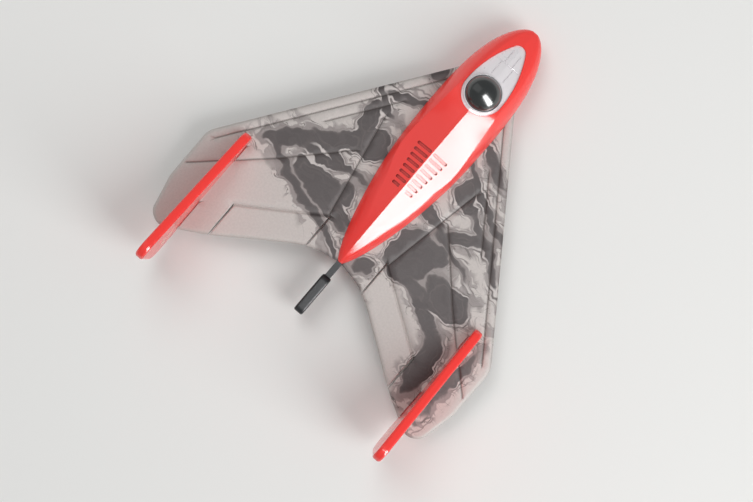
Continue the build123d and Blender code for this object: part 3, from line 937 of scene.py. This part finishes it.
@dataclass
class FoamWing:
    """The pressed foam wing with its two bending flaps, each cut free at its sides."""

    edge_radius: float = 1.5
    cut_radius: float = 0.35
    root: Point = (84.0, 13.0)
    tip_front: Point = (5.5, 68.5)
    tip_middle: Point = (-16.0, 68.5)
    tip_rear: Point = (-30.5, 65.3)
    trailing_tip: Point = (-33.3, 60.0)
    front_corner: float = 9.0
    rear_corner: float = 5.0
    trailing: tuple[Point, ...] = ((0.0, 0.0), (-3.2, 12.6), (-12.0, 26.5), (-23.8, 43.5), (-33.3, 60.0))
    fin_place: float = 55.5
    fin_thickness: float = 3.5
    fin_slot_front: float = -17.0
    fin_tab: tuple[float, float] = (3.0, 10.0)
    crease_inboard: Point = (10.6, 13.8)
    crease_outboard: Point = (-9.1, 43.2)
    flap_side_gap: float = 0.5
    stem_half_width: float = 1.25
    anchor: tuple[float, float, float] = (8.95, 12.55, 3.55)
    peg_stations: tuple[float, float] = (35.5, 62.2)
    peg_hole_radius: float = 1.9
    crease_press: tuple[float, float, float] = (0.75, 0.8, 0.4)
    bend_start: float = 0.25
    bend_end: float = 2.8
    hinge_height: float = 0.01
    skins: list[Material] = field(default_factory=list)

    def trailing_station(self, port: float) -> float:
        """Return the trailing edge's station at a distance to port."""
        curve = smooth_path(list(self.trailing))
        return float(np.interp(port, [p[1] for p in curve], [p[0] for p in curve]))

    def trailing_run(self, first: float, last: float) -> tuple[Point, ...]:
        """Return the trailing edge between two distances to port, in that order."""
        count = max(2, int(abs(last - first) / 0.9))
        return tuple((self.trailing_station(port), port) for port in np.linspace(first, last, count))

    def crease_at(self, port: float) -> Point:
        """Return the point of the crease line at a distance to port."""
        share = (port - self.crease_inboard[1]) / (self.crease_outboard[1] - self.crease_inboard[1])
        return (self.crease_inboard[0] + share * (self.crease_outboard[0] - self.crease_inboard[0]), port)

    def port_half(self) -> list[Edge]:
        """Draw the wing's outline over the port side.

        Returns:
            The outline's runs, from the front middle to the rear middle.
        """
        pressed, cut = self.edge_radius, self.cut_radius
        slot = (self.fin_place + self.fin_thickness / 2, self.fin_place - self.fin_thickness / 2)
        side = (self.crease_outboard[1] + self.flap_side_gap, self.crease_inboard[1] - self.flap_side_gap)
        around = [
            (*self.root, 0.0), (*self.tip_front, self.front_corner), (*self.tip_middle, self.front_corner),
            (*self.tip_rear, self.rear_corner), (*self.trailing_tip, self.rear_corner),
            (self.trailing_station(slot[0]), slot[0], 0.0),
        ]
        stem, (head_rear, head_front, head) = self.stem_half_width, self.anchor
        return [
            Edge(((self.root[0], 0.0), self.root), pressed),
            Edge(rounded_path(around), pressed),
            Edge((
                (self.trailing_station(slot[0]), slot[0]), (self.fin_slot_front, slot[0]),
                (self.fin_slot_front, slot[1]), (self.trailing_station(slot[1]), slot[1])), cut),
            Edge(self.trailing_run(slot[1], side[0]), pressed),
            Edge(((self.trailing_station(side[0]), side[0]), self.crease_at(side[0])), cut),
            Edge((self.crease_at(side[0]), self.crease_at(side[1])), 0.0),
            Edge((self.crease_at(side[1]), (self.trailing_station(side[1]), side[1])), cut),
            Edge(self.trailing_run(side[1], stem), pressed),
            Edge((
                (self.trailing_station(stem), stem), (head_rear, stem), (head_rear, head),
                (head_front, head), (head_front, 0.0)), cut),
        ]

    def holes(self) -> list[list[Edge]]:
        """Draw the closed holes for the fins' front tabs and the shells' pegs.

        Returns:
            One loop for each hole.
        """
        loops = []
        half = self.fin_thickness / 2
        for sign in (1, -1):
            middle = sign * self.fin_place
            rear, front = self.fin_tab
            loops.append([Edge((
                (rear, middle - half), (front, middle - half), (front, middle + half),
                (rear, middle + half), (rear, middle - half)), self.cut_radius)])
        for station in self.peg_stations:
            turns = [2 * pi * i / 20 for i in range(21)]
            ring = tuple(
                (station + self.peg_hole_radius * cos(a), self.peg_hole_radius * sin(a)) for a in turns)
            loops.append([Edge(ring, self.cut_radius)])
        return loops

    def pressed_lines(self) -> list[Groove]:
        """Draw the wing's pressed panel lines.

        Returns:
            The lines of both sides.
        """
        root, lean = self.root, (self.tip_front[0] - self.root[0], self.tip_front[1] - self.root[1])
        length = hypot(*lean)
        inward = (lean[1] / length, lean[0] / length)

        def beside(depth: float, first: float, last: float) -> tuple[Point, ...]:
            """Draw a line beside the leading edge, between two shares of its length."""
            return tuple(
                (root[0] + share * lean[0] - depth * inward[0], root[1] + share * lean[1] + depth * inward[1])
                for share in (first, last))

        port = [
            ((52.0, 22.2), (10.6, 14.3)),
            ((36.0, 21.5), (13.5, 43.0), (-9.0, 67.0)),
            beside(3.6, -0.02, 0.985),
            beside(7.5, 0.24, 0.56),
        ]
        crease = (self.crease_at(self.crease_inboard[1] - 0.5), self.crease_at(self.crease_outboard[1] + 0.5))
        lines = [Groove(path) for path in port] + [Groove(mirrored(path)) for path in port]
        return lines + [Groove(path, *self.crease_press) for path in (crease, mirrored(crease))]

    def flap_outline(self) -> list[Edge]:
        """Draw the port flap's outline.

        Returns:
            The outline's runs.
        """
        inboard, outboard = self.crease_inboard, self.crease_outboard
        rear_in, rear_out = self.trailing_station(inboard[1]), self.trailing_station(outboard[1])
        return [
            Edge((inboard, outboard), 0.0),
            Edge((outboard, (rear_out, outboard[1])), self.cut_radius),
            Edge(self.trailing_run(outboard[1], inboard[1]), self.edge_radius),
            Edge(((rear_in, inboard[1]), inboard), self.cut_radius),
        ]

    def build(self) -> None:
        """Build the wing and both flaps, and join the wing to its body."""
        lowest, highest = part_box("wing_panel")
        tail_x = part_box("fuselage_upper_shell")[0].x
        half = self.port_half()
        other = [Edge(mirrored(edge.points), edge.radius) for edge in reversed(half)]
        sizes = {"tail_x": tail_x, "bottom": lowest.z, "top": highest.z}
        wing = FoamSheet("foam_wing", [half + other, *self.holes()], self.pressed_lines(), **sizes).build()
        self.dress(wing, "wing_panel")
        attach(wing, "glider")
        crease = (self.crease_inboard, self.crease_outboard)
        # Close rows reach 4 half-widths from the crease, so that the foam could bend smoothly there.
        rows = tuple(i / 2.5 for i in range(-10, 11))
        for side, node, body in (
            (Side.PORT, "elevon_left", "elevon_port"), (Side.STARBOARD, "elevon_right", "elevon_starboard"),
        ):
            outline = self.flap_outline()
            line = crease
            if side is Side.STARBOARD:
                outline = [Edge(mirrored(edge.points), edge.radius) for edge in reversed(outline)]
                line = mirrored(crease)
            groove = Groove(line, *self.crease_press, rows)
            flap = FoamSheet(f"foam_{node}", [outline], [groove], **sizes).build()
            self.dress(flap, node)
            self.hinge(flap)

    def hinge(self, flap: bpy.types.Object) -> None:
        """Bake a flap's placement into its mesh.

        Args:
            flap: the flap's object.
        """
        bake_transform(flap)

    def dress(self, piece: bpy.types.Object, node: str) -> None:
        """Give a foam piece its two skins and let it stand for its CAD node.

        Args:
            piece: the foam object.
            node: the CAD node that it replaces.
        """
        if not self.skins:
            self.skins = [PRINTED_FOAM.material(), PRESSED_FOAM.material()]
        for skin in self.skins:
            piece.data.materials.append(skin)
        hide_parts(node)
        log.info("%s: %d faces", piece.name, len(piece.data.polygons))


# ------------------------------------------------------------------------------ plastic pieces
def dress_node(name: str, material: Material) -> None:
    """Give a carried CAD node its material.

    Args:
        name: the node's name.
        material: the material for all of its faces.
    """
    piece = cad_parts[name]
    for slot in piece.material_slots:
        slot.material = material
    log.info("%s: %s", name, material.name)


@dataclass
class Pod:
    """The two red shells, with the hook and the steel slug that they hold."""

    shells: tuple[str, ...] = ("fuselage_upper_shell", "fuselage_lower_shell")

    def build(self) -> None:
        """Dress the shells and what they hold."""
        red = RED_ABS.material()
        for shell in self.shells:
            dress_node(shell, red)
        dress_node("launch_hook", BLACK_POLYPROPYLENE.material())
        dress_node("nose_weight", CUT_STEEL.material())


@dataclass
class Cockpit:
    """The silver deck and the smoked canopy on it."""

    def build(self) -> None:
        """Dress the deck and the canopy."""
        dress_node("cockpit_deck", SILVER_ABS.material())
        dress_node("canopy_dome", SMOKED_POLYCARBONATE.material())


@dataclass
class Tail:
    """The two tip fins and the black grip behind the pod."""

    def build(self) -> None:
        """Dress the fins and the grip."""
        fins = RED_ABS_FIN.material()
        dress_node("fin_left", fins)
        dress_node("fin_right", fins)
        dress_node("tail_grip", BLACK_POLYPROPYLENE.material())


# ------------------------------------------------------------------------------ studio
class Shows(Enum):
    """Where a lamp's light shows."""

    EVERYWHERE = "everywhere"
    ON_MATT = "on matt surfaces only"
    IN_GLOSS = "as a reflection only"


@dataclass
class Studio:
    """A pale floor, soft light and a camera that looks straight down."""

    floor_half: float = 2.0
    floor_colour: str = "#eeeeec"
    camera_height: float = 0.70
    camera_behind: float = -0.0211
    camera_port: float = -0.0076
    camera_turn: float = -49.5
    lens: float = 91.0
    lamp_tilt: float = 50.0
    room_strength: float = 0.35

    def build(self) -> None:
        """Build the floor, the lights and the camera."""
        self.floor()
        self.lights()
        self.camera()

    def floor(self) -> None:
        """Lay the floor."""
        half = self.floor_half
        mesh = bpy.data.meshes.new("floor")
        corners = [(-half, -half, 0), (half, -half, 0), (half, half, 0), (-half, half, 0)]
        mesh.from_pydata(corners, [], [(0, 1, 2, 3)])
        plane = bpy.data.objects.new("floor", mesh)
        bpy.context.scene.collection.objects.link(plane)
        material, tree = blank_material("painted_floor_matt")
        place = add_node(tree, "TexCoord").outputs["Object"]
        cloud = add_node(tree, "TexNoise", inputs={"Vector": place, "Scale": 3.0})
        rough = add_node(tree, "MapRange", inputs={"Value": cloud, "To Min": 0.75, "To Max": 0.85})
        finish_material(tree, add_node(tree, "BsdfPrincipled", inputs={
            "Base Color": linear(self.floor_colour), "Roughness": rough, "Specular IOR Level": 0.1}))
        mesh.materials.append(material)

    def lamp(self, name: str, place: tuple[float, float, float], size: tuple[float, float], power: float,
             shows: Shows = Shows.EVERYWHERE) -> None:
        """Hang a soft rectangular lamp aimed at the glider.

        Args:
            name: the lamp's name.
            place: where it hangs.
            size: its width and height.
            power: its power in watts.
            shows: whether it lights matt surfaces, shows as a reflection, or both.
        """
        data = bpy.data.lights.new(name, "AREA")
        data.shape = "RECTANGLE"
        data.size, data.size_y = size
        data.energy = power
        made = bpy.data.objects.new(name, data)
        made.location = place
        made.rotation_euler = Vector(place).to_track_quat("Z", "X").to_euler()
        made.visible_diffuse = shows is not Shows.IN_GLOSS
        made.visible_glossy = shows is not Shows.ON_MATT
        bpy.context.scene.collection.objects.link(made)

    def lights(self) -> None:
        """Hang the lamps and set the room's even light."""
        side, height = sin(radians(self.lamp_tilt)), cos(radians(self.lamp_tilt))
        self.lamp("softbox", (0.0, -0.95 * side, 0.95 * height), (0.9, 0.45), 5.1, Shows.ON_MATT)
        self.lamp("gloss_strip", (-0.15, -0.9 * side, 0.9 * height), (1.5, 0.46), 35.0, Shows.IN_GLOSS)
        self.lamp("port_card", (0.1, 0.9 * side, 0.9 * height), (0.9, 0.6), 0.6, Shows.IN_GLOSS)
        self.lamp("top_fill", (0.25, 0.55, 1.1), (0.7, 0.7), 4.6, Shows.ON_MATT)
        world = bpy.data.worlds.new("room")
        world.use_nodes = True
        sky = world.node_tree.nodes["Background"].inputs
        sky["Color"].default_value = linear("#ffffff")
        sky["Strength"].default_value = self.room_strength
        bpy.context.scene.world = world

    def camera(self) -> None:
        """Set the camera straight above the glider, nose to the upper right."""
        data = bpy.data.cameras.new("camera")
        data.lens = self.lens
        made = bpy.data.objects.new("camera", data)
        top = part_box("wing_panel")[1].z
        made.location = (self.camera_behind, self.camera_port, top + self.camera_height)
        made.rotation_euler = (0.0, 0.0, radians(self.camera_turn))
        bpy.context.scene.collection.objects.link(made)
        bpy.context.scene.camera = made
        bpy.context.scene.view_settings.view_transform = "Standard"


def main() -> None:
    """Build the whole glider and its studio."""
    logging.basicConfig(level=logging.INFO, format="%(name)s: %(message)s")
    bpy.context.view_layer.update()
    for group in (FoamWing(), Pod(), Cockpit(), Tail(), Studio()):
        group.build()
        log.info("built %s", type(group).__name__)


if __name__ == "__main__":
    main()
